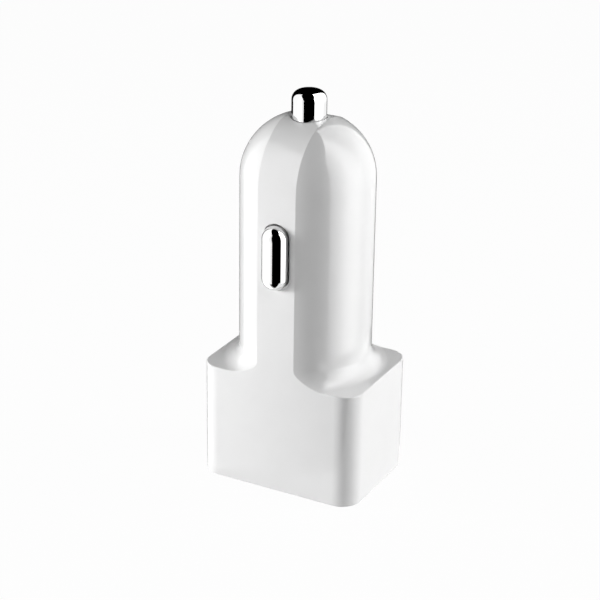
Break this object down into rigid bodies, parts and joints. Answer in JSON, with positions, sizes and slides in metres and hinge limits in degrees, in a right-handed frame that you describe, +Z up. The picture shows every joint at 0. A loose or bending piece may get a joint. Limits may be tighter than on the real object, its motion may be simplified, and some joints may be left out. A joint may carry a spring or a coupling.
{
  "type": "car usb charger plug",
  "caption": "White moulded car power plug with a domed nose, sprung chrome contacts and USB sockets in its square end.",
  "frame": {"origin": "middle of the flat USB face at the square end", "axes": "+Z up the plug to its nose, -Y out of the front side contact, +X to the right seen from the front"},
  "size_m": [0.0274, 0.0244, 0.0636],
  "materials": {
    "white_housing": "polished white moulding",
    "white_plate": "fine satin white moulding",
    "socket_plastic": "semi-gloss white moulding",
    "socket_steel": "bright rolled sheet",
    "gilt_contacts": "gold flashed",
    "board_laminate": "green solder mask",
    "chrome_plate": "polished chrome plate",
    "spring_steel": "drawn wire",
    "spring_bronze": "rolled phosphor bronze",
    "brass_terminal": "stamped brass",
    "ferrite": "matt dark ferrite",
    "enamelled_copper": "enamelled copper wire",
    "can_aluminium": "drawn can",
    "black_sleeve": "shrunk film",
    "chip_epoxy": "moulded epoxy",
    "tinned_leads": "tinned",
    "resistor_black": "glazed top",
    "ceramic_tan": "fired ceramic"
  },
  "bodies": {
    "charger": {"housing": "white_housing", "usb_face_plate": "white_plate", "front_usb_shell": "socket_steel", "rear_usb_shell": "socket_steel", "front_usb_insulator": "socket_plastic", "rear_usb_insulator": "socket_plastic", "front_usb_contacts": "gilt_contacts", "rear_usb_contacts": "gilt_contacts", "usb_board": "board_laminate", "main_board": "board_laminate", "pin_spring": "spring_steel", "pin_terminal": "brass_terminal", "front_contact_spring": "spring_bronze", "rear_contact_spring": "spring_bronze", "inductor_core": "ferrite", "inductor_winding": "enamelled_copper", "input_capacitor": "can_aluminium", "output_capacitor": "can_aluminium", "input_capacitor_sleeve": "black_sleeve", "output_capacitor_sleeve": "black_sleeve", "controller_chip": "chip_epoxy", "controller_leads": "tinned_leads", "rectifier_diode": "chip_epoxy", "diode_terminals": "tinned_leads", "chip_resistors": "resistor_black", "chip_capacitors": "ceramic_tan"},
    "centre_pin": {"centre_pin": "chrome_plate"},
    "front_contact": {"front_contact": "chrome_plate"},
    "rear_contact": {"rear_contact": "chrome_plate"}
  },
  "joints": [
    {"name": "pin_travel", "type": "slide", "parent": "charger", "child": "centre_pin", "axis": [0, 0, -1], "range_m": [0, 0.003], "stiffness_N_per_m": 900, "springref_m": -0.002, "deforming": ["pin_spring"]},
    {"name": "front_contact_travel", "type": "slide", "parent": "charger", "child": "front_contact", "axis": [0, 1, 0], "range_m": [0, 0.0017], "stiffness_N_per_m": 1500, "springref_m": -0.001, "deforming": ["front_contact_spring"]},
    {"name": "rear_contact_travel", "type": "slide", "parent": "charger", "child": "rear_contact", "axis": [0, -1, 0], "range_m": [0, 0.0017], "stiffness_N_per_m": 1500, "springref_m": -0.001, "deforming": ["rear_contact_spring"]}
  ]
}
